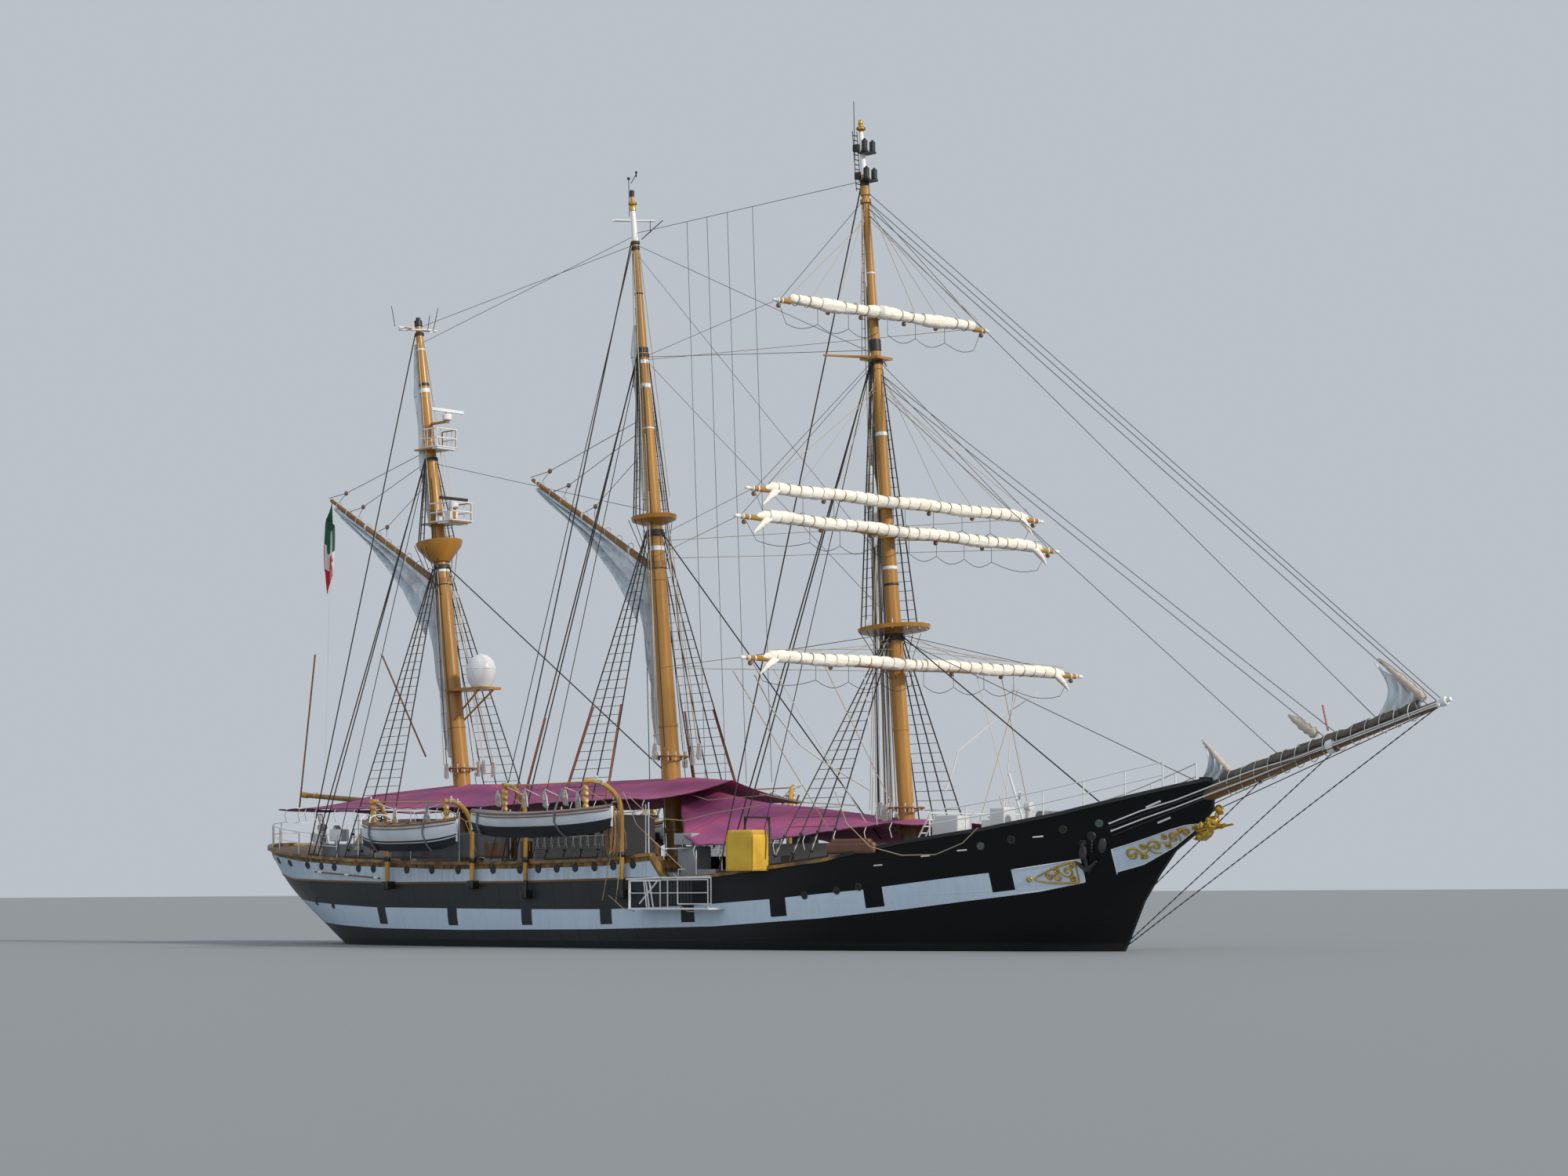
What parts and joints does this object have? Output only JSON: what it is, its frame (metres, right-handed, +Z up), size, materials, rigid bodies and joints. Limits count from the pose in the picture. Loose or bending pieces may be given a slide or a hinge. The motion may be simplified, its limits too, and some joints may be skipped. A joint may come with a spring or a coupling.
{
  "type": "three-masted barquentine tall ship, 1:2 scale model",
  "caption": "Steel-hulled sailing ship with a square-rigged foremast, fore-and-aft main and mizzen, furled sails, awnings, davit boats, bowsprit and figurehead.",
  "frame": {"origin": "amidships on the centre line, at the waterline", "axes": "+X towards the bow, +Y to port, +Z up"},
  "size_m": [33.5984, 10.1302, 20.0282],
  "materials": {
    "hull_paint": "black gloss with white band",
    "mustard_paint": "satin",
    "rail_paint": "satin",
    "white_paint": "satin",
    "grey_paint": "satin",
    "gold_leaf": "gilded",
    "iron": "matt black",
    "wire_rope": "weathered",
    "canvas": "woven",
    "awning_cloth": "woven",
    "cover_cloth": "coated",
    "flag_cloth": "woven",
    "bronze": "cast",
    "varnished_wood": "varnished",
    "radome_shell": "gloss"
  },
  "bodies": {
    "ship": {"hull": "hull_paint", "cap_rails": "rail_paint", "poop_rail": "white_paint", "forecastle_rail": "white_paint", "poop_deckhouse": "white_paint", "aft_deckhouse": "white_paint", "fore_deckhouse": "white_paint", "windlass": "grey_paint", "bowsprit": "mustard_paint", "figurehead": "gold_leaf", "anchor_starboard": "iron", "anchor_port": "iron", "fore_lower_mast": "mustard_paint", "fore_topmast": "mustard_paint", "main_lower_mast": "mustard_paint", "main_topmast": "mustard_paint", "mizzen_lower_mast": "mustard_paint", "mizzen_topmast": "mustard_paint", "radome": "radome_shell", "fore_shrouds": "wire_rope", "main_shrouds": "wire_rope", "mizzen_shrouds": "wire_rope", "headstays": "wire_rope", "fore_topmast_rigging": "wire_rope", "main_topmast_rigging": "wire_rope", "mizzen_topmast_rigging": "wire_rope", "furled_headsails": "canvas", "aft_awning": "awning_cloth", "fore_awning": "awning_cloth", "deck_case": "cover_cloth", "boarding_platform": "white_paint", "long_boat_starboard": "white_paint", "long_boat_port": "white_paint", "short_boat_starboard": "white_paint", "short_boat_port": "white_paint", "long_boat_davits_starboard": "mustard_paint", "long_boat_davits_port": "mustard_paint", "short_boat_davits_starboard": "mustard_paint", "short_boat_davits_port": "mustard_paint", "helm_stand": "white_paint"},
    "rudder": {"rudder": "hull_paint"},
    "propeller": {"propeller": "bronze"},
    "helm": {"helm_wheel": "varnished_wood"},
    "course": {"course_yard": "mustard_paint", "furled_course": "canvas"},
    "lower_topsail": {"lower_topsail_yard": "mustard_paint", "furled_lower_topsail": "canvas"},
    "upper_topsail": {"upper_topsail_yard": "mustard_paint", "furled_upper_topsail": "canvas"},
    "topgallant": {"topgallant_yard": "mustard_paint", "furled_topgallant": "canvas"},
    "main_gaff": {"main_gaff": "mustard_paint", "brailed_main_sail": "canvas"},
    "mizzen_gaff": {"mizzen_gaff": "mustard_paint", "brailed_mizzen_sail": "canvas", "ensign": "flag_cloth"},
    "main_boom": {"main_boom": "mustard_paint"},
    "mizzen_boom": {"mizzen_boom": "mustard_paint"},
    "radar_upper": {"radar_upper": "white_paint"},
    "radar_lower": {"radar_lower": "grey_paint"}
  },
  "joints": [
    {"name": "rudder_turn", "type": "hinge", "parent": "ship", "child": "rudder", "pos_m": [-11.375, 0, -1], "axis": [0, 0, 1], "range_deg": [-35, 35]},
    {"name": "helm_turn", "type": "hinge", "parent": "ship", "child": "helm", "pos_m": [-11.2, 0, 2.725], "axis": [1, 0, 0], "range_deg": [-360, 360]},
    {"name": "propeller_turn", "type": "hinge", "parent": "ship", "child": "propeller", "pos_m": [-10.65, 0, -1.525], "axis": [1, 0, 0], "continuous": true},
    {"name": "course_brace", "type": "hinge", "parent": "ship", "child": "course", "pos_m": [5.9168, 0, 5.87], "axis": [-0.0795, 0, 0.9968], "range_deg": [-25, 25]},
    {"name": "lower_topsail_brace", "type": "hinge", "parent": "ship", "child": "lower_topsail", "pos_m": [5.6931, 0, 8.675], "axis": [-0.0795, 0, 0.9968], "range_deg": [-25, 25]},
    {"name": "upper_topsail_brace", "type": "hinge", "parent": "ship", "child": "upper_topsail", "pos_m": [5.6433, 0, 9.3], "axis": [-0.0795, 0, 0.9968], "range_deg": [-25, 25]},
    {"name": "topgallant_brace", "type": "hinge", "parent": "ship", "child": "topgallant", "pos_m": [5.3203, 0, 13.35], "axis": [-0.0795, 0, 0.9968], "range_deg": [-25, 25]},
    {"name": "main_gaff_swing", "type": "hinge", "parent": "ship", "child": "main_gaff", "pos_m": [-1.2668, 0, 8.58], "axis": [-0.0896, 0, 0.996], "range_deg": [-30, 30]},
    {"name": "mizzen_gaff_swing", "type": "hinge", "parent": "ship", "child": "mizzen_gaff", "pos_m": [-8.6788, 0, 8.725], "axis": [-0.1378, 0, 0.9905], "range_deg": [-30, 30]},
    {"name": "main_boom_swing", "type": "hinge", "parent": "ship", "child": "main_boom", "pos_m": [-0.7986, 0, 3.375], "axis": [-0.0896, 0, 0.996], "range_deg": [-6, 6]},
    {"name": "mizzen_boom_swing", "type": "hinge", "parent": "ship", "child": "mizzen_boom", "pos_m": [-7.9137, 0, 3.225], "axis": [-0.1378, 0, 0.9905], "range_deg": [-5, 5]},
    {"name": "radar_upper_turn", "type": "hinge", "parent": "ship", "child": "radar_upper", "pos_m": [-8.5027, 0, 12.855], "axis": [0, 0, 1], "continuous": true},
    {"name": "radar_lower_turn", "type": "hinge", "parent": "ship", "child": "radar_lower", "pos_m": [-8.2736, 0, 10.7], "axis": [0, 0, 1], "continuous": true}
  ],
  "couplings": [
    {"joint": "helm_turn", "follows": "rudder_turn", "ratio": 10}
  ]
}
